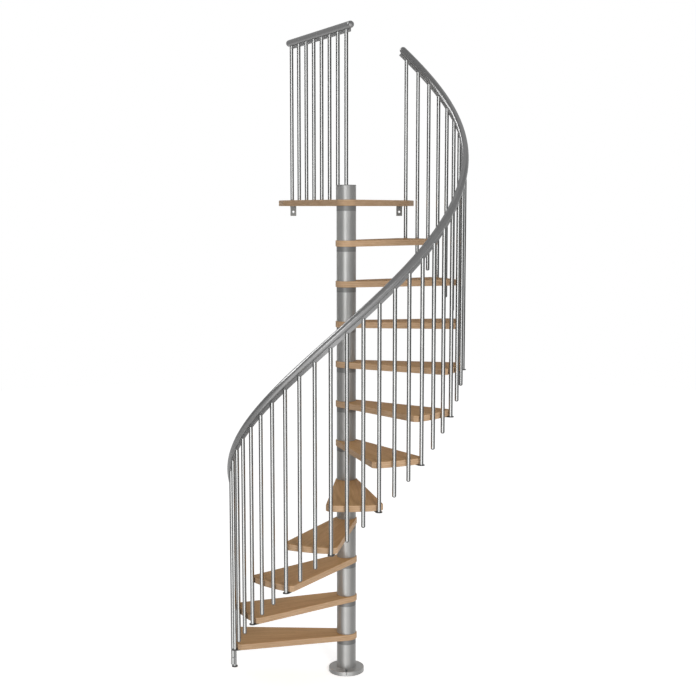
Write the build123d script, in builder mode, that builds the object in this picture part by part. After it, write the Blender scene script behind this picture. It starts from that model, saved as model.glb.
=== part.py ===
from build123d import *
from math import atan2, cos, degrees, hypot, radians, sin, tan
import os

# A spiral staircase: eleven wedge treads and a landing on a round column, a helical
# balustrade outside the treads and a straight one along the open side of the landing.
# The frame: +Z up, origin on the floor on the column's axis. The landing points along
# +Y, the fifth tread along -Y. The stair climbs counter-clockwise seen from above.

os.makedirs("parts", exist_ok=True)

# the stair
treads = 11
rise = 225.0
step = 22.0                  # degrees turned from one tread to the next
first_tread = 186.0          # direction of the first tread's centre line, degrees
infill = 2                   # tubes between two corner tubes

# the column
column_r = 54.5
tube_wall = 3.0
core_r = 22.0
core_clear = 0.3
collar_h = 28.0
column_over = 81.0           # column above the landing
cap_t = 4.0
base_t = 5.0
base_r = 92.0
cover_r = 101.0
cover_h = 26.0
cover_wall = 3.0
cover_gap = 2.0
cover_notch = 12.0           # width of the slot beside the joint, in the cover's top
base_hole_r = 5.5
base_holes = 4
base_pcd = 150.0

# the treads
tread_t = 34.0
nose_r = 60.0
tread_w = 312.0              # how far apart the two side edges are at the tubes' circle
tread_chamfer = 16.0
tread_round = 3.0
edge_gap = 2.0               # from the outer edge to the tubes

# the landing
landing_back = 730.0
landing_back_w = 828.0
landing_side = 537.0
landing_side_w = 756.0
flange_inset = 89.0          # from the landing's back corner to the flange's middle
flange_w = 36.0
flange_h = 60.0
flange_t = 4.0
flange_foot = 50.0
flange_hole_r = 6.5
flange_hole_up = 25.0

# the helical balustrade
tube_r = 11.0
tube_ring = 653.5            # radius of the circle that the tubes stand on
rail_r = 20.0
rail_up = 1085.0             # handrail's centre over the tread, at its rear corner
rail_over = 2.0              # degrees that the handrail runs on past its end tubes
bar_t = 8.0
bar_h = 17.0
bar_clear = 0.4              # the bar's own gap in the tubes' slots
seat_gap = 0.3
foot_t = 4.0
foot_w = 36.0
clip_w = 12.0
clip_h = 24.0
post_foot_r = 17.0
post_foot_h = 6.0

# the landing's balustrade
side_posts = 8
side_angle = 115.5           # direction from the column, degrees
side_len = 766.0             # from the column's axis to the last post
side_rail_up = 942.0         # handrail's centre over the landing
side_over_out = 32.0
side_over_in = 52.0


def top_of(k):
    """Height of tread k's top; the landing comes after the last tread."""
    return base_t + k * rise


def on_circle(radius, angle):
    return (radius * cos(radians(angle)), radius * sin(radians(angle)))


def save(part, name, colour):
    part.label = name
    part.color = Color(*colour)
    export_step(part, "parts/" + name + ".step")


steel = (0.62, 0.63, 0.64)
dark_steel = (0.36, 0.37, 0.38)
wood = (0.66, 0.50, 0.33)

landing_top = top_of(treads + 1)
tube_step = step / (infill + 1)
tube_rise = rise / (infill + 1)
tubes_per_tread = infill + 1
tube_count = treads * tubes_per_tread + 1
first_tube = first_tread - step / 2
edge_r = tube_ring - tube_r - edge_gap
under_rail = rail_r + seat_gap
flange_x = landing_back_w / 2 - flange_inset
slope = atan2(rise, radians(step) * tube_ring)
core_hole_r = core_r + core_clear


def tube_angle(i):
    return first_tube + i * tube_step


def rail_height(i):
    """Height of the handrail's centre over tube i; tube 0 is the floor post."""
    return top_of(1) + rail_up + (i - tubes_per_tread) * tube_rise


def tube_foot(i):
    """The level that tube i ends at: flush with the underside of its own tread."""
    return top_of(1) - tread_t + (i - tubes_per_tread) * tube_rise


# base plate, bolted to the floor under the cover
with BuildPart() as base_plate:
    with BuildSketch():
        Circle(base_r)
        with PolarLocations(base_pcd / 2, base_holes, start_angle=45):
            Circle(base_hole_r, mode=Mode.SUBTRACT)
    extrude(amount=base_t)
save(base_plate.part, "base_plate", dark_steel)

# cover over the base plate, in two halves that meet on a line through the axis
with BuildPart() as base_cover:
    with BuildSketch(Plane.XZ):
        with BuildLine():
            Polyline(
                (base_r + seat_gap, 0), (cover_r, 0), (cover_r, cover_h),
                (column_r + seat_gap, cover_h), (column_r + seat_gap, cover_h - cover_wall),
                (cover_r - cover_wall, cover_h - cover_wall),
                (cover_r - cover_wall, base_t), (base_r + seat_gap, base_t), close=True,
            )
        make_face()
    revolve(axis=Axis.Z)
    fillet(base_cover.edges().group_by(Axis.Z)[-1].sort_by(SortBy.LENGTH)[-1], cover_wall)
    with BuildSketch():
        Rectangle(cover_gap, 2 * cover_r + 1)
    extrude(amount=cover_h, mode=Mode.SUBTRACT)
    with BuildSketch(Plane.XY.offset(cover_h - cover_wall)):
        Rectangle(cover_notch, 2 * base_r)
    extrude(amount=cover_wall, mode=Mode.SUBTRACT)
save(base_cover.part, "base_cover", steel)

# core rod that clamps the column's pieces together
with BuildPart() as core_rod:
    with BuildSketch(Plane.XY.offset(base_t)):
        Circle(core_r)
    extrude(amount=landing_top + column_over - cap_t - base_t)
save(core_rod.part, "core_rod", dark_steel)

# spacer tubes: one under each tread's collar and one above the landing
with BuildPart() as spacer_tubes:
    for k in range(treads + 2):
        foot = top_of(k)
        head = landing_top + column_over - cap_t if k > treads else foot + rise - tread_t - collar_h
        with BuildSketch(Plane.XY.offset(foot)):
            Circle(column_r)
            Circle(column_r - tube_wall, mode=Mode.SUBTRACT)
        extrude(amount=head - foot)
save(spacer_tubes.part, "spacer_tubes", steel)

# collars: a turned ring under each tread and under the landing
with BuildPart() as collars:
    for k in range(1, treads + 2):
        with BuildSketch(Plane.XY.offset(top_of(k) - tread_t - collar_h)):
            Circle(column_r)
            Circle(core_hole_r, mode=Mode.SUBTRACT)
        extrude(amount=collar_h)
save(collars.part, "collars", dark_steel)

# cap that closes the column
with BuildPart() as column_cap:
    with BuildSketch(Plane.XY.offset(landing_top + column_over - cap_t)):
        Circle(column_r)
    extrude(amount=cap_t)
    chamfer(column_cap.faces().sort_by(Axis.Z)[-1].edges(), cap_t / 4)
save(column_cap.part, "column_cap", dark_steel)


def rims(board):
    """The edges round a board's top and underside, without its holes."""
    low_to_high = board.faces().sort_by(Axis.Z)
    return low_to_high[0].outer_wire().edges() + low_to_high[-1].outer_wire().edges()


# treads: a wedge tangent to a round nose that wraps the column, cut off by an arc that
# follows the tubes, with its two outer corners taken off
for k in range(1, treads + 1):
    seat = Plane.XY.offset(top_of(k) - tread_t).rotated((0, 0, first_tread + (k - 1) * step))
    with BuildPart() as tread:
        with BuildSketch(seat) as outline:
            with BuildLine():
                CenterArc((0, 0), nose_r, 0, 360)
                Line((tube_ring, -tread_w / 2), (tube_ring, tread_w / 2))
            make_hull()
            Circle(edge_r, mode=Mode.INTERSECT)
            across = outline.vertices().sort_by(Axis.Y)
            chamfer([across[0], across[-1]], tread_chamfer)
            Circle(core_hole_r, mode=Mode.SUBTRACT)
        extrude(amount=tread_t)
        fillet(rims(tread), tread_round)
    save(tread.part, "tread_%02d" % k, wood)

# landing: a round nose, two side edges and a straight back edge
post_hole = on_circle(tube_ring, tube_angle(tube_count - 1))
with BuildPart() as landing:
    with BuildSketch(Plane.XY.offset(landing_top - tread_t)):
        with BuildLine():
            CenterArc((0, 0), nose_r, 0, 360)
            Polyline(
                (landing_side_w / 2, landing_side), (landing_back_w / 2, landing_back),
                (-landing_back_w / 2, landing_back), (-landing_side_w / 2, landing_side),
            )
        make_hull()
        Circle(core_hole_r, mode=Mode.SUBTRACT)
        with Locations(post_hole):
            Circle(tube_r + seat_gap, mode=Mode.SUBTRACT)
    extrude(amount=tread_t)
    fillet(rims(landing), tread_round)
save(landing.part, "landing", wood)

# two angle flanges under the landing's back edge
for side, name in ((-1, "landing_flange_left"), (1, "landing_flange_right")):
    with BuildPart() as flange:
        with BuildSketch(Plane.YZ.offset(side * flange_x)):
            with BuildLine():
                Polyline(
                    (landing_back, landing_top - tread_t),
                    (landing_back, landing_top - tread_t - flange_h),
                    (landing_back - flange_t, landing_top - tread_t - flange_h),
                    (landing_back - flange_t, landing_top - tread_t - flange_t),
                    (landing_back - flange_foot, landing_top - tread_t - flange_t),
                    (landing_back - flange_foot, landing_top - tread_t), close=True,
                )
            make_face()
        extrude(amount=flange_w / 2, both=True)
        with BuildSketch(Plane.XZ.offset(-landing_back)):
            with Locations((side * flange_x, landing_top - tread_t - flange_h + flange_hole_up)):
                Circle(flange_hole_r)
        extrude(amount=flange_t, mode=Mode.SUBTRACT)
    save(flange.part, name, steel)


# the bar hangs square to the slope, which puts it on a slightly larger circle than the tubes
bar_out = hypot(tube_ring, (under_rail + bar_h / 2) * sin(slope)) - tube_ring


def plain_tube(i, foot):
    """A tube at place i, its top cut to the handrail's slope and slotted for the flat bar."""
    x, y = on_circle(tube_ring, tube_angle(i))
    top = rail_height(i) - under_rail / cos(slope)
    reach = 2 * tube_r * tan(slope)
    on_foot = (Align.CENTER, Align.CENTER, Align.MIN)
    tube = Cylinder(tube_r, top + reach - foot, align=on_foot, mode=Mode.PRIVATE)
    above = Box(6 * tube_r, 8 * tube_r, 4 * reach, align=on_foot, mode=Mode.PRIVATE)
    slot = Box(bar_t + 2 * bar_clear, 8 * tube_r, 2 * (bar_h + bar_clear), mode=Mode.PRIVATE)
    on_slope = Pos(x, y, top) * Rot(0, 0, tube_angle(i)) * Rot(degrees(slope), 0, 0)
    return Pos(x, y, foot) * tube - on_slope * above - on_slope * Pos(bar_out, 0, 0) * slot


# corner tubes: each ends flush under the rear corner of its tread
with BuildPart() as corner_tubes:
    for k in range(1, treads + 1):
        i = k * tubes_per_tread
        add(plain_tube(i, tube_foot(i)))
save(corner_tubes.part, "corner_tubes", steel)

# floor post under the handrail's lower end
with BuildPart() as floor_post:
    add(plain_tube(0, post_foot_h))
save(floor_post.part, "floor_post", steel)

with BuildPart() as floor_post_foot:
    with BuildSketch():
        with Locations(on_circle(tube_ring, tube_angle(0))):
            Circle(post_foot_r)
    extrude(amount=post_foot_h)
save(floor_post_foot.part, "floor_post_foot", dark_steel)

# infill tubes, which hang past the tread below, with a domed plug in each end
low_places = [i for i in range(tube_count // 2) if i % tubes_per_tread]
high_places = [i for i in range(tube_count // 2, tube_count) if i % tubes_per_tread]
for places, name in ((low_places, "infill_tubes_lower"), (high_places, "infill_tubes_upper")):
    with BuildPart() as infill_tubes:
        for i in places:
            add(plain_tube(i, tube_foot(i)))
    save(infill_tubes.part, name, steel)

with BuildPart() as tube_plugs:
    for i in low_places + high_places:
        x, y = on_circle(tube_ring, tube_angle(i))
        plug = Cone(tube_r / 2, tube_r, tube_r / 2, mode=Mode.PRIVATE,
                    align=(Align.CENTER, Align.CENTER, Align.MAX))
        add(Pos(x, y, tube_foot(i)) * plug)
save(tube_plugs.part, "tube_plugs", dark_steel)

# foot plates that carry the corner tubes: screwed under the tread's rear corner
foot_in = tube_ring - edge_r + 3 * tube_r
with BuildPart() as foot_plates:
    for k in range(1, treads + 1):
        i = k * tubes_per_tread
        plane = Plane.XY.offset(tube_foot(i) - foot_t).rotated((0, 0, tube_angle(i)))
        with BuildSketch(plane):
            with Locations((tube_ring, 0)):
                Circle(foot_w / 2)
            with Locations((tube_ring - foot_in / 2, 0)):
                Rectangle(foot_in, foot_w)
        extrude(amount=foot_t)
save(foot_plates.part, "foot_plates", dark_steel)

# clips: a flat pad between each tube and the outer edge of the tread it passes
with BuildPart() as edge_clips:
    for i in range(tube_count - 1):
        level = top_of(i // tubes_per_tread + 1) - (tread_t + clip_h) / 2
        with BuildSketch(Plane.XY.offset(level).rotated((0, 0, tube_angle(i)))):
            with Locations((edge_r, 0)):
                Rectangle(edge_gap - seat_gap, clip_w, align=(Align.MIN, Align.CENTER))
        extrude(amount=clip_h)
save(edge_clips.part, "edge_clips", dark_steel)

# handrail and the flat bar under it, both swept up the same helix; the section's y axis
# points up, square to the slope
pitch = rise * 360 / step
rail_turn = (tube_count - 1) * tube_step + 2 * rail_over
rail_start = rail_height(0) - rail_over / tube_step * tube_rise
helix = Helix(pitch, pitch * rail_turn / 360, tube_ring)
rail_path = Pos(0, 0, rail_start) * Rot(0, 0, tube_angle(0) - rail_over) * helix
rail_foot = rail_path @ 0
rail_out = Vector(rail_foot.X, rail_foot.Y, 0).normalized()
rail_section = Plane(origin=rail_foot, x_dir=-rail_out, z_dir=rail_path % 0)

with BuildPart() as handrail:
    with BuildSketch(rail_section):
        Circle(rail_r)
    sweep(path=rail_path, is_frenet=True)
save(handrail.part, "handrail", steel)

with BuildPart() as rail_bar:
    with BuildSketch(rail_section):
        with Locations((0, -under_rail)):
            Rectangle(bar_t, bar_h, align=(Align.CENTER, Align.MAX))
    sweep(path=rail_path, is_frenet=True)
save(rail_bar.part, "rail_bar", dark_steel)

# rounded ends of the handrail
for i, sign, name in ((0, -1, "handrail_end_lower"), (tube_count - 1, 1, "handrail_end_upper")):
    angle = tube_angle(i) + sign * rail_over
    height = rail_height(i) + sign * rail_over / tube_step * tube_rise
    x, y = on_circle(tube_ring, angle)
    with BuildPart() as rail_end:
        dome = Sphere(rail_r, arc_size1=0, mode=Mode.PRIVATE,
                      align=(Align.CENTER, Align.CENTER, Align.MIN))
        add(Pos(x, y, height) * Rot(0, 0, angle) * Rot(degrees(slope) - 90 * sign, 0, 0) * dome)
    save(rail_end.part, name, steel)

# the landing's own balustrade stands on a line from the column to the back corner
side_dir = (cos(radians(side_angle)), sin(radians(side_angle)))
side_plane = Plane(origin=(0, 0, landing_top), x_dir=(*side_dir, 0), z_dir=(0, 0, 1))
side_gap = side_len / (side_posts - 1)
bar_top = side_rail_up - under_rail
with BuildPart() as side_tubes:
    with BuildSketch(side_plane):
        with Locations([(side_gap * j, 0) for j in range(1, side_posts)]):
            Circle(tube_r)
    extrude(amount=bar_top)
    with BuildSketch(side_plane.offset(column_over)):
        Circle(tube_r)
    extrude(amount=bar_top - column_over)
    with BuildSketch(side_plane.offset(bar_top - bar_h - bar_clear)):
        with Locations((side_len / 2, 0)):
            Rectangle(2 * side_len, bar_t + 2 * bar_clear)
    extrude(amount=bar_h + bar_clear, mode=Mode.SUBTRACT)
save(side_tubes.part, "side_tubes", steel)

# its handrail is a round bar with a half ball at each end
with BuildPart() as side_handrail:
    with BuildSketch(Plane(origin=(0, 0, landing_top + side_rail_up), x_dir=(*side_dir, 0),
                           z_dir=(side_dir[1], -side_dir[0], 0))):
        with BuildLine():
            near = Line((-side_over_in - rail_r, 0), (side_len + side_over_out + rail_r, 0))
            RadiusArc(near @ 0, (-side_over_in, rail_r), rail_r)
            Line((-side_over_in, rail_r), (side_len + side_over_out, rail_r))
            RadiusArc((side_len + side_over_out, rail_r), near @ 1, rail_r)
        make_face()
    revolve(axis=Axis((0, 0, landing_top + side_rail_up), (*side_dir, 0)))
save(side_handrail.part, "side_handrail", steel)

with BuildPart() as side_bar:
    with BuildSketch(side_plane.offset(bar_top - bar_h)):
        with Locations((-side_over_in, 0)):
            Rectangle(side_over_in + side_len + tube_r, bar_t, align=(Align.MIN, Align.CENTER))
    extrude(amount=bar_h)
save(side_bar.part, "side_bar", dark_steel)
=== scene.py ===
# %% [markdown]
# A spiral staircase in wood and silver-painted steel
#
# Eleven wedge treads and a landing are threaded on a round column. A railing of slim tubes
# climbs round them under a round handrail, and a short straight railing guards the landing.
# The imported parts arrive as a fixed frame. This lesson gives them their finishes, adds the
# tubes' sawn tops and the screws, and sets up the camera and the studio.

from math import atan2, cos, degrees, hypot, pi, radians, tan

import bmesh
import bpy
import numpy as np
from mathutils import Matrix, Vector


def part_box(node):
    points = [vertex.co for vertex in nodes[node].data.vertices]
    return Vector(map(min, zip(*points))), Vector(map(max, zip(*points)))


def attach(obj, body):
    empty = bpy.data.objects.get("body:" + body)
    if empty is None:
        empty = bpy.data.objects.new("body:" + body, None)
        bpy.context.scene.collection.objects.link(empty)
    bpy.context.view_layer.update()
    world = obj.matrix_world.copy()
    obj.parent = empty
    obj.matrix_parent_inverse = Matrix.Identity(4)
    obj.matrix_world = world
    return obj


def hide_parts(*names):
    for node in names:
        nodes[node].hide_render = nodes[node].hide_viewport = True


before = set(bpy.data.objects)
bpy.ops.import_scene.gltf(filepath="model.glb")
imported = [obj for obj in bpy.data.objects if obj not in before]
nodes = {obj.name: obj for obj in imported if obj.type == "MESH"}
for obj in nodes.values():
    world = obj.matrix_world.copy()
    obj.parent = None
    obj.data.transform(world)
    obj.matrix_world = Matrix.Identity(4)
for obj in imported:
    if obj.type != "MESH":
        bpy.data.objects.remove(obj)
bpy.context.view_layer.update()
print("parts in the frame:", len(nodes))

# %% [markdown]
# The stair's own measures
#
# A stair like this repeats one step: the same rise and the same turn from tread to tread, with
# three tubes to each. All the heights could be typed in, but the frame holds them already, so
# the rise and the thickness of a board are read from the treads. Only what the boxes of the
# parts can't tell, such as the turn or the radius of a tube, is written down here.

# %% Measures of the stair
MM = 0.001
TREADS = 11
TUBES_PER_TREAD = 3
TREAD_TURN = radians(22)          # from one tread to the next
FIRST_TREAD = radians(186)        # direction of the first tread's centre line
TUBE_RADIUS = 11 * MM
TUBE_RING = 653.5 * MM            # the circle that the tubes stand on
RAIL_RADIUS = 20 * MM
RAIL_UP = 1085 * MM               # handrail's centre over a tread, at its rear corner
SEAT = 0.3 * MM                   # play between two parts that touch

first_low, first_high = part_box("tread_01")
last_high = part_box("tread_11")[1]
landing_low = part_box("landing")[0]
rise = (last_high.z - first_high.z) / (TREADS - 1)
tread_thick = first_high.z - first_low.z
print("rise %.1f mm, boards %.1f mm thick" % (rise / MM, tread_thick / MM))

tube_count = TREADS * TUBES_PER_TREAD + 1
tube_numbers = np.arange(tube_count)
tube_angles = FIRST_TREAD - TREAD_TURN / 2 + tube_numbers * TREAD_TURN / TUBES_PER_TREAD
climb = (tube_numbers - TUBES_PER_TREAD) * rise / TUBES_PER_TREAD
tube_feet = first_low.z + climb
rail_heights = first_high.z + RAIL_UP + climb
slope = atan2(rise, TREAD_TURN * TUBE_RING)
print("handrail climbs at %.1f degrees over %d tubes" % (degrees(slope), tube_count))

# %% [markdown]
# The camera
#
# The picture was taken from above mid height, looking slightly down. A camera could be
# pushed about by eye until the picture fits. Here its place, its tilt and its focal length
# come from fitting a pinhole camera to the stair's regular geometry: equal rises, equal turns,
# one circle of tubes. That fit is good to a fraction of a pixel. A camera object wants a lens
# in millimetres for its sensor's width, so the focal length in pixels is scaled to that.

# %% Camera
PHOTO_WIDTH = 696                 # pixels
FOCAL_PIXELS = 1216.7
SENSOR = 36.0                     # millimetres
CAMERA_PLACE = (0, -6.79275, 2.65369)
LOOKS_DOWN = 0.1138               # radians below the horizontal
LOOKS_RIGHT = 0.0014              # radians past the column


def new_object(name, data):
    """Puts data into the scene as an object of that name."""
    made = bpy.data.objects.new(name, data)
    bpy.context.scene.collection.objects.link(made)
    return made


camera_data = bpy.data.cameras.new("photo_camera")
camera_data.sensor_width = SENSOR
camera_data.lens = FOCAL_PIXELS * SENSOR / PHOTO_WIDTH
camera = new_object("photo_camera", camera_data)
camera.location = CAMERA_PLACE
camera.rotation_euler = (pi / 2 - LOOKS_DOWN, 0, -LOOKS_RIGHT)
bpy.context.scene.camera = camera
bpy.context.scene.view_settings.view_transform = "Standard"
print("lens %.2f mm" % camera_data.lens)

# %% [markdown]
# Surfaces from arrays
#
# The round pieces that this lesson adds could each be a cylinder from the menu, cut and moved.
# Instead a mesh is a grid of points: row i goes up a profile, column j goes round the axis.
# Neighbouring rows and columns make one quad each, and the last column is joined back to the
# first. A whole stack of such grids becomes one mesh, so 34 tubes cost as little code as one.

# %% Mesh helper
WELD = 1e-6                       # metres; points closer than this become one
SHARP = radians(35)               # an edge that turns more than this stays crisp


def on_circle(radius, angle, height):
    """Points (radius times cos of angle, radius times sin of angle, height), as one array."""
    return np.stack(np.broadcast_arrays(radius * np.cos(angle), radius * np.sin(angle),
                                        height), -1)


def turned(profiles, columns):
    """Round pieces: point (r, z) of a profile goes round the upright axis at angles 0..2 pi.

    profiles has shape (copies, rows, 2). A row with r = 0 closes the piece at a pole."""
    angle = np.linspace(0, 2 * pi, columns, endpoint=False)
    return on_circle(profiles[..., :1], angle, profiles[..., 1:])


def grid_faces(rows, cols):
    """Quads (i, j), (i, j+1), (i+1, j+1), (i+1, j) of a grid whose last column meets column 0."""
    i = np.arange(rows - 1)[:, None]
    j = np.arange(cols)[None, :]
    k = (j + 1) % cols
    quads = np.stack([i * cols + j, i * cols + k, (i + 1) * cols + k, (i + 1) * cols + j], -1)
    return quads.reshape(-1, 4)


def add_surfaces(name, grids, material):
    """One piece from grids of shape (copies, rows, columns, 3): the same quads, repeated.

    Copy n has its points after those of the n copies before it, so its quads count from
    n times rows times columns. Points that fall together, as at a pole, are welded."""
    copies, rows, cols, _ = grids.shape
    first_point = np.arange(copies)[:, None, None] * rows * cols
    faces = (grid_faces(rows, cols) + first_point).reshape(-1, 4)
    mesh = bpy.data.meshes.new(name)
    mesh.from_pydata(grids.reshape(-1, 3).tolist(), [], faces.tolist())
    shell = bmesh.new()
    shell.from_mesh(mesh)
    bmesh.ops.remove_doubles(shell, verts=shell.verts, dist=WELD)
    shell.to_mesh(mesh)
    shell.free()
    mesh.polygons.foreach_set("use_smooth", np.full(len(mesh.polygons), True))
    mesh.set_sharp_from_angle(angle=SHARP)
    mesh.materials.append(material)
    piece = new_object(name, mesh)
    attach(piece, "root")
    print("%s: %d faces" % (name, len(mesh.polygons)))
    return piece


# %% [markdown]
# A small vocabulary for node graphs
#
# A finish is a graph of nodes that starts at Object coordinates, which are the stair's own
# metres, so a grain keeps its real scale on every part. The light of the room is a graph too.
# Both could be clicked together in the node editor. In code a few words are enough: make a
# node, feed its inputs with a value or with another node's output, and get back its output.

# %% Graph helper
class Graph:
    """A node tree, written as calls that return the output that is wanted."""

    def __init__(self, tree):
        self.tree = tree

    def feed(self, socket, value):
        """Links another node's output to a socket, or else sets the socket's own value."""
        if isinstance(value, bpy.types.NodeSocket):
            self.tree.links.new(value, socket)
        else:
            socket.default_value = value

    def node(self, kind, **inputs):
        """A new node. An input named by its word takes a value or another output."""
        made = self.tree.nodes.new(kind)
        for key, value in inputs.items():
            self.feed(made.inputs[key.replace("_", " ")], value)
        return made

    def maths(self, operation, a, b=0.0):
        """One operation on a and b, or on a alone."""
        made = self.tree.nodes.new("ShaderNodeMath")
        made.operation = operation
        self.feed(made.inputs[0], a)
        self.feed(made.inputs[1], b)
        return made.outputs[0]

    def span(self, factor, low, high, start=0.0, stop=1.0):
        """Moves a factor from start..stop to low..high, and holds it there outside."""
        made = self.node("ShaderNodeMapRange", Value=factor, From_Min=start, From_Max=stop,
                         To_Min=low, To_Max=high)
        return made.outputs[0]


class Finish(Graph):
    """A material's graph, ending in one shader."""

    def __init__(self, name):
        self.material = bpy.data.materials.new(name)
        self.material.use_nodes = True
        super().__init__(self.material.node_tree)
        self.shader = self.tree.nodes["Principled BSDF"]
        self.where = self.node("ShaderNodeTexCoord").outputs["Object"]

    def place(self, scale, turn=0.0, shift=(0, 0, 0)):
        """Object coordinates, first turned about the column, then stretched and shifted."""
        spun = self.node("ShaderNodeMapping", Vector=self.where, Rotation=(0, 0, -turn))
        stretched = self.node("ShaderNodeMapping", Vector=spun.outputs[0], Location=shift,
                              Scale=scale)
        return stretched.outputs[0]

    def noise(self, vector, scale, detail=3.0, roughness=0.5):
        """A cloudy value from 0 to 1, with more and rougher fine detail where asked."""
        made = self.node("ShaderNodeTexNoise", Vector=vector, Scale=scale, Detail=detail,
                         Roughness=roughness)
        return made.outputs["Fac"]

    def ramp(self, factor, *stops):
        """A colour ramp between two (position, colour) stops."""
        made = self.node("ShaderNodeValToRGB", Fac=factor)
        for element, (position, colour) in zip(made.color_ramp.elements, stops):
            element.position = position
            element.color = (*colour, 1)
        return made.outputs["Color"]

    def mix(self, factor, a, b, blend="MIX"):
        """Colour a, replaced or multiplied by colour b as far as the factor says."""
        made = self.tree.nodes.new("ShaderNodeMix")
        made.data_type = "RGBA"
        made.blend_type = blend
        self.feed(made.inputs["Factor"], factor)
        self.feed(made.inputs["A"], a)
        self.feed(made.inputs["B"], b)
        return made.outputs["Result"]

    def bump(self, height, strength, distance):
        """Lets a height from 0 to 1 tilt the surface, as a relief of distance metres would."""
        made = self.node("ShaderNodeBump", Height=height, Strength=strength, Distance=distance)
        self.set(Normal=made.outputs[0])

    def set(self, **sockets):
        """Feeds the shader's own sockets."""
        for key, value in sockets.items():
            self.feed(self.shader.inputs[key.replace("_", " ")], value)


def dress(name, material):
    """Puts a finish on every material slot of a part."""
    for slot in nodes[name].material_slots:
        slot.material = material


# %% [markdown]
# Painted steel and satin tubes
#
# The metal is silver grey. Satin tube has fine draw lines along its length, and sprayed parts
# have a faint orange peel, the same in all directions. Each could have a graph of its own, but
# one function makes both: a fine noise drives roughness and bump, and on a tube it is squeezed
# across and stretched along. Bare tube is all mirror, metallic 1. Silver paint is part mirror
# and part plain grey, so it never gets as dark at its sides. The handrail is lacquered: plain
# dark grey that also mirrors the room a little at every angle, so its IOR is set high.

# %% Metal finishes
CLOUDS = 12.0                     # noise cells per metre in the tone of a metal
VARIATION = 0.04                  # how far the tone goes up and down
UNEVEN = 0.1                      # how far the roughness goes up and down
METAL_BUMP = 0.1
METAL_RELIEF = 0.01 * MM
PLAIN_IOR = 1.5
LACQUER_IOR = 2.3
DRAWN = (1, 1, 0.02)              # noise stretched along an upright tube


def metal(name, colour, metallic, roughness, ior=PLAIN_IOR, stretch=(1, 1, 1), grain=900.0):
    """Grey metal: a cloudy tone, and a stretched fine noise for its roughness and bump."""
    finish = Finish(name)
    dark = tuple(c * (1 - VARIATION) for c in colour)
    light = tuple(c * (1 + VARIATION) for c in colour)
    tone = finish.ramp(finish.noise(finish.where, CLOUDS), (0.3, dark), (0.7, light))
    fine = finish.noise(finish.place(stretch), grain, detail=2.0)
    finish.set(Base_Color=tone, Metallic=metallic, IOR=ior)
    finish.set(Roughness=finish.span(fine, roughness * (1 - UNEVEN), roughness * (1 + UNEVEN)))
    finish.bump(fine, METAL_BUMP, METAL_RELIEF)
    return finish.material


column_steel = metal("column_steel", (0.44, 0.44, 0.43), metallic=0.55, roughness=0.35)
collar_metal = metal("collar_metal", (0.23, 0.23, 0.225), metallic=0.4, roughness=0.42)
cover_plastic = metal("cover_plastic", (0.50, 0.50, 0.49), metallic=0.5, roughness=0.35)
tube_steel = metal("tube_steel", (0.53, 0.535, 0.53), metallic=1.0, roughness=0.20,
                   stretch=DRAWN, grain=700.0)
rail_steel = metal("rail_steel", (0.18, 0.18, 0.18), metallic=0.0, roughness=0.13,
                   ior=LACQUER_IOR)
bar_steel = metal("bar_steel", (0.28, 0.28, 0.28), metallic=0.4, roughness=0.40)
fitting_metal = metal("fitting_metal", (0.11, 0.11, 0.11), metallic=0.3, roughness=0.40)
flange_steel = metal("flange_steel", (0.24, 0.245, 0.24), metallic=0.5, roughness=0.40)
core_steel = metal("core_steel", (0.25, 0.25, 0.25), metallic=0.8, roughness=0.45)

metal_parts = {
    column_steel: ["spacer_tubes"],
    collar_metal: ["collars", "column_cap"],
    cover_plastic: ["base_cover"],
    core_steel: ["core_rod", "base_plate"],
    tube_steel: ["corner_tubes", "floor_post", "infill_tubes_lower", "infill_tubes_upper",
                 "side_tubes"],
    rail_steel: ["handrail", "handrail_end_lower", "handrail_end_upper", "side_handrail"],
    bar_steel: ["rail_bar", "side_bar"],
    fitting_metal: ["foot_plates", "edge_clips", "tube_plugs", "floor_post_foot"],
    flange_steel: ["landing_flange_left", "landing_flange_right"],
}
for finish, names in metal_parts.items():
    for name in names:
        dress(name, finish)
print("metal parts dressed:", sum(len(names) for names in metal_parts.values()))

# %% [markdown]
# Railing tubes
#
# Each tube of the railing is sawn off square where the sloping handrail touches its low side,
# and the flat bar goes through its top. The parts have tubes with a sloping top, which look a
# little too tall. They could be cut, but parts of the frame are never changed, so these tubes
# stand in for them. A tube is a turned piece: its profile goes from the foot up the wall, over
# a broken edge and down into a sunk plug. Only the two heights change from tube to tube.

# %% Railing tubes
TUBE_WALL = 1.5 * MM
PLUG_SUNK = 1.5 * MM
BROKEN_EDGE = 0.8 * MM
TUBE_SIDES = 32

tube_feet[0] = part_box("floor_post_foot")[1].z
tube_tops = rail_heights - (RAIL_RADIUS + SEAT) / cos(slope) - TUBE_RADIUS * tan(slope)
bore = TUBE_RADIUS - TUBE_WALL
edge = TUBE_RADIUS - BROKEN_EDGE
reach = [0, edge, TUBE_RADIUS, TUBE_RADIUS, edge, bore, bore, 0]
over_foot = np.array([0, 0, BROKEN_EDGE])
over_top = np.array([-BROKEN_EDGE, 0, 0, -PLUG_SUNK, -PLUG_SUNK])
levels = np.hstack([tube_feet[:, None] + over_foot, tube_tops[:, None] + over_top])
profiles = np.stack([np.broadcast_to(reach, levels.shape), levels], -1)
stands = on_circle(TUBE_RING, tube_angles, 0.0)[:, None, None]
railing_tubes = add_surfaces("railing_tubes", turned(profiles, TUBE_SIDES) + stands,
                             tube_steel)
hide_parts("corner_tubes", "floor_post", "infill_tubes_lower",
            "infill_tubes_upper")

# %% [markdown]
# Screws under the plates
#
# The foot plates and the landing's flanges are screwed up into the wood. Such fine heads would
# only weigh down the parts, so they are made here. A button head is a turned piece too: a low
# dome with a round socket. It points down, so its heights count downwards from the plate, and
# its rows run from the tip to the rim, which keeps the faces outside. Each plate has two.

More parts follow.
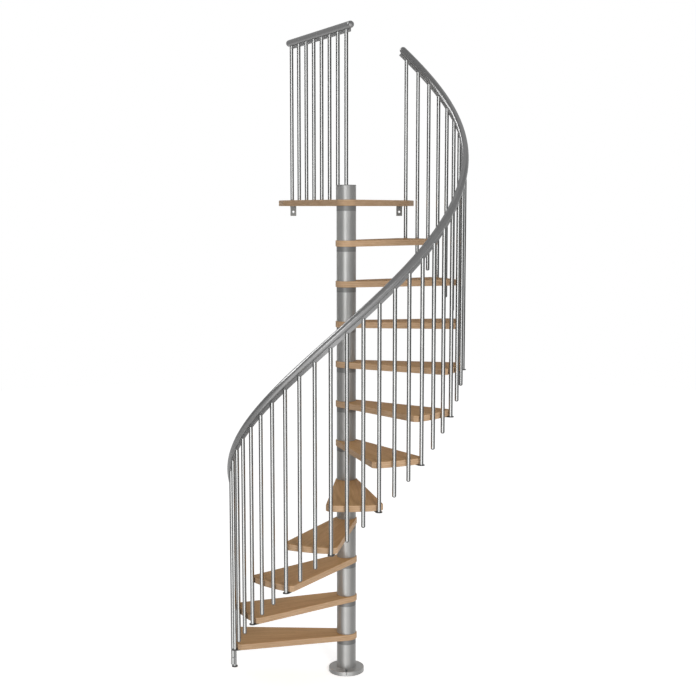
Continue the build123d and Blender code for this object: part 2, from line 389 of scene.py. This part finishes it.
# %% Screws
SCREW_RADIUS = 4.5 * MM
SCREW_HEIGHT = 1.8 * MM
SOCKET_RIM = 0.43                 # radians from the tip of the dome to the socket's rim
SOCKET_FLOOR = -0.4               # in heights of the head, like the next
LET_IN = 0.15                     # how far the head goes into its plate
DOME_ROWS = 5
SCREW_SIDES = 16
PLATE_THICK = 4 * MM              # of the foot plates and the flanges
IN_FROM_RING = np.array([24, 38]) * MM
FLANGE_IN = 18 * MM               # from the flange's inner edge
FLANGE_SPREAD = 9 * MM            # to either side of the flange's middle

dome = np.linspace(SOCKET_RIM, pi / 2, DOME_ROWS)
head_r = np.concatenate([[0, np.sin(SOCKET_RIM)], np.sin(dome), [1, 0]]) * SCREW_RADIUS
head_z = np.concatenate([[SOCKET_FLOOR] * 2, -np.cos(dome), [LET_IN] * 2]) * SCREW_HEIGHT
head = turned(np.stack([head_r, head_z], -1)[None], SCREW_SIDES)

corners = tube_numbers[TUBES_PER_TREAD::TUBES_PER_TREAD][:, None]
spots = on_circle(TUBE_RING - IN_FROM_RING, tube_angles[corners],
                  tube_feet[corners] - PLATE_THICK).reshape(-1, 3)
flange_spots = []
for side in ("left", "right"):
    low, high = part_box("landing_flange_" + side)
    for step in (-FLANGE_SPREAD, FLANGE_SPREAD):
        flange_spots.append(((low.x + high.x) / 2 + step, low.y + FLANGE_IN,
                             landing_low.z - PLATE_THICK))
spots = np.concatenate([spots, flange_spots])
add_surfaces("plate_screws", head + spots[:, None, None], fitting_metal)

# %% [markdown]
# Beech boards
#
# The treads are glued from layers. On top the fibres run along the tread as fine streaks with
# the short dark flecks of beech, and round the edge the layers show as thin lines. A picture of
# wood would need unwrapping and would repeat, so the wood is made of noise in the stair's own
# metres. The finish looks at which way a face points: level faces get the streaks, upright
# ones the layers. Each board has its own copy, turned to its direction and moved to other wood.
# The landing's edge is also darkened a little: painted shade, because less of the light falls on
# its side.

# %% Wood finish
TOP_DARK = (0.450, 0.258, 0.108)
TOP_LIGHT = (0.590, 0.362, 0.172)
EDGE_DARK = (0.460, 0.290, 0.160)
EDGE_LIGHT = (0.620, 0.430, 0.275)
FLECK_TINT = (0.80, 0.74, 0.68)
GLUE_TINT = (0.72, 0.66, 0.60)
PLAIN = (1, 1, 1)
STREAKS = (1.2, 22, 22)           # how much the noise is squeezed along and across the board
FIBRES = (8, 260, 260)
FLECKS = (30, 330, 330)
LAYER_GRAIN = (5, 5, 90)          # and, for the edge, in height
OTHER_WOOD = (0.37, 0.11, 0.23)   # how far the noise moves from board to board
LAYERS = 3                        # glued into each board
WOOD_BUMP = 0.2
WOOD_RELIEF = 0.08 * MM
# Painted shade: the landing's edge colour is darkened because less of the softbox's light falls
# on that side.
LANDING_EDGE_SHADE = 0.85               # the landing's edge is darker than those of the treads


def tread_angle(k):
    """Direction of tread k's centre line: the first direction plus k - 1 equal turns."""
    return FIRST_TREAD + (k - 1) * TREAD_TURN


def beech(name, turn, underside, number, edge_shade=1.0):
    """Streaks along the board on level faces, layer lines in steps of height on upright ones."""
    finish = Finish(name)
    shift = tuple(number * part for part in OTHER_WOOD)
    streak = finish.noise(finish.place(STREAKS, turn, shift), 3.0, detail=6.0, roughness=0.55)
    fibre = finish.noise(finish.place(FIBRES, turn, shift), 3.0, detail=2.0)
    fleck = finish.noise(finish.place(FLECKS, turn, shift), 1.0, detail=1.0)
    top = finish.ramp(streak, (0.30, TOP_DARK), (0.70, TOP_LIGHT))
    flecks = finish.ramp(fleck, (0.60, PLAIN), (0.72, FLECK_TINT))
    top = finish.mix(0.8, top, flecks, "MULTIPLY")

    grain = finish.noise(finish.place(LAYER_GRAIN, turn, shift), 3.0, detail=5.0, roughness=0.6)
    # The upright faces' colour is scaled down here for painted shade where a board asks for it.
    edge = finish.ramp(grain, (0.30, tuple(edge_shade * c for c in EDGE_DARK)),
                       (0.70, tuple(edge_shade * c for c in EDGE_LIGHT)))
    height = finish.node("ShaderNodeSeparateXYZ", Vector=finish.where).outputs["Z"]
    level = finish.maths("MULTIPLY", finish.maths("SUBTRACT", height, underside),
                         LAYERS / tread_thick)
    from_middle = finish.maths("SUBTRACT", finish.maths("FRACT", level), 0.5)
    glue = finish.ramp(finish.maths("ABSOLUTE", from_middle), (0.40, PLAIN), (0.49, GLUE_TINT))
    edge = finish.mix(0.8, edge, glue, "MULTIPLY")

    normal = finish.node("ShaderNodeTexCoord").outputs["Normal"]
    facing_up = finish.node("ShaderNodeSeparateXYZ", Vector=normal).outputs["Z"]
    is_level = finish.span(finish.maths("ABSOLUTE", facing_up), 0.0, 1.0, 0.5, 0.8)
    finish.set(Base_Color=finish.mix(is_level, edge, top))
    finish.set(Roughness=finish.span(fibre, 0.5, 0.65), Specular_IOR_Level=0.2)
    finish.bump(fibre, WOOD_BUMP, WOOD_RELIEF)
    return finish.material


for k in range(1, TREADS + 1):
    name = "tread_%02d" % k
    dress(name, beech(name + "_beech", tread_angle(k), first_low.z + (k - 1) * rise, k))
# The landing's edge gets the painted shade, darker because less light falls on its side.
dress("landing", beech("landing_beech", pi / 2, landing_low.z, TREADS + 1, LANDING_EDGE_SHADE))
print("boards dressed:", TREADS + 1)

# %% [markdown]
# The floor
#
# The stair stands on a pale floor that runs into white without a line. The shadow could be
# caught by a hidden plane, but a real floor also throws light up under the treads. So this one
# is a wide disc of pale paint that keeps the stair's shadow, and only what the camera sees of
# it is lifted to white by a little light of its own. Metal doesn't mirror it: it has a room of
# its own, further down.

# %% Floor
FLOOR_RADIUS = 12.0
FLOOR_RINGS = 12
FLOOR_SIDES = 64
FLOOR_GREY = 0.90
FLOOR_LIFT = 0.55

rings = np.linspace(FLOOR_RADIUS, 0.0, FLOOR_RINGS)[:, None]
around = np.linspace(0, 2 * pi, FLOOR_SIDES, endpoint=False)
floor_mesh = bpy.data.meshes.new("floor")
floor_mesh.from_pydata(on_circle(rings, around, 0.0).reshape(-1, 3).tolist(), [],
                       grid_faces(FLOOR_RINGS, FLOOR_SIDES).tolist())
floor = new_object("floor", floor_mesh)
floor.visible_glossy = False

paper = Finish("pale_floor")
paper.set(Base_Color=(FLOOR_GREY, FLOOR_GREY, FLOOR_GREY, 1), Roughness=0.9,
          Specular_IOR_Level=0.0)
to_camera = paper.node("ShaderNodeLightPath").outputs["Is Camera Ray"]
paper.set(Emission_Color=(1, 1, 1, 1),
          Emission_Strength=paper.maths("MULTIPLY", to_camera, FLOOR_LIFT))
floor_mesh.materials.append(paper.material)
print("floor: %.0f m across" % (2 * FLOOR_RADIUS))

# %% [markdown]
# The light
#
# The shadows are faint and soft, so most of the light comes evenly from all round, and the
# room gives that. One broad softbox to the right of the camera adds the little direction that
# shows on wood and column. A sun or a spot would draw hard shadows of 34 tubes. A lamp shines
# down its own z axis, so it is tipped up from straight down and then turned towards its aim.

# %% Light
KEY_PLACE = np.array([2.2, -6.9, 3.4])
KEY_AIM = np.array([0.0, 0.0, 1.9])
KEY_SIZE = (2.0, 3.0)
KEY_POWER = 250                   # watts

softbox = bpy.data.lights.new("key_softbox", "AREA")
softbox.shape = "RECTANGLE"
softbox.size, softbox.size_y = KEY_SIZE
softbox.energy = KEY_POWER
key = new_object("key_softbox", softbox)
key.location = KEY_PLACE
x, y, z = KEY_AIM - KEY_PLACE
key.rotation_euler = (atan2(hypot(x, y), -z), 0, atan2(y, x) - pi / 2)
key.visible_glossy = False
print("softbox %.1f m from its aim" % np.linalg.norm(KEY_AIM - KEY_PLACE))

# %% [markdown]
# The room that metal sees
#
# Round metal has hardly a colour of its own, it shows the room: bright lines with dark ones
# between them. The screens of a photographer's room could be built as glowing planes. Here
# they are drawn into the world, by the way a mirrored ray goes: how far round the stair, and
# how far up. There is a broad pale screen in front with a bright narrow one in it, one that
# leans on the left, a pale wall behind with a brighter band, and a pale floor. Other rays meet
# an even fill, and the camera and what is seen through glass meet plain white.

# %% The room
FILL = 0.55
WHITE = 1.0
UNLIT = 0.04                      # what metal sees between the screens

world = bpy.data.worlds.new("studio")
bpy.context.scene.world = world
world.use_nodes = True
world.node_tree.nodes.clear()
room = Graph(world.node_tree)

way = room.node("ShaderNodeSeparateXYZ",
                Vector=room.node("ShaderNodeTexCoord").outputs["Generated"])
towards_camera = room.maths("MULTIPLY", way.outputs["Y"], -1)
azimuth = room.maths("ARCTAN2", way.outputs["X"], towards_camera)
upward = way.outputs["Z"]


def screen(middle, half_width, edge, strength, low=-1.0, high=1.0, fade=0.1, lean=0.0):
    """A lit screen: its strength within half_width of the azimuth middle, from low to high.

    It falls to nothing over edge degrees at its sides, and over fade above and below. A
    screen that leans has its middle lean degrees further round at the height of 1."""
    centre = room.maths("ADD", radians(middle), room.maths("MULTIPLY", upward, radians(lean)))
    off = room.maths("ABSOLUTE", room.maths("SUBTRACT", azimuth, centre))
    across = room.span(off, strength, 0.0, radians(half_width), radians(half_width + edge))
    above = room.span(upward, 0.0, 1.0, low - fade, low)
    below = room.span(upward, 1.0, 0.0, high, high + fade)
    return room.maths("MULTIPLY", across, room.maths("MULTIPLY", above, below))


def either(factor, no, yes):
    """The world's shader that a kind of ray meets: yes where the factor is 1."""
    made = room.tree.nodes.new("ShaderNodeMixShader")
    for socket, value in zip(made.inputs, (factor, no, yes)):
        room.feed(socket, value)
    return made.outputs[0]


def glow(strength):
    """White light from all round, of one strength or of a strength that changes."""
    return room.node("ShaderNodeBackground", Color=(1, 1, 1, 1), Strength=strength).outputs[0]


# first the middle, the half width and the edge in degrees, then the strength
screens = [
    screen(0, 32, 20, 0.9, high=0.12, fade=0.2),                        # broad, in front
    screen(-12, 6, 5, 2.6, low=-0.2, high=0.15, fade=0.25),             # narrow, in front
    screen(-75, 13, 6, 6.0, low=0.24, high=0.66, fade=0.04, lean=-59),  # on the left
    screen(0, 180, 10, 0.45, high=-0.5, fade=0.35),                     # the floor
]
for behind in (-180, 180):                                              # wall and its band
    screens += [screen(behind, 55, 15, 0.35), screen(behind, 25, 10, 0.6, -0.15, 0.10)]
mirrored = UNLIT
for lit in screens:
    mirrored = room.maths("ADD", lit, mirrored)

path = room.node("ShaderNodeLightPath")
direct = room.maths("MAXIMUM", path.outputs["Is Camera Ray"], path.outputs["Is Transmission Ray"])
in_room = either(path.outputs["Is Glossy Ray"], glow(FILL), glow(mirrored))
room.node("ShaderNodeOutputWorld", Surface=either(direct, in_room, glow(WHITE)))
print("screens in the room:", len(screens))
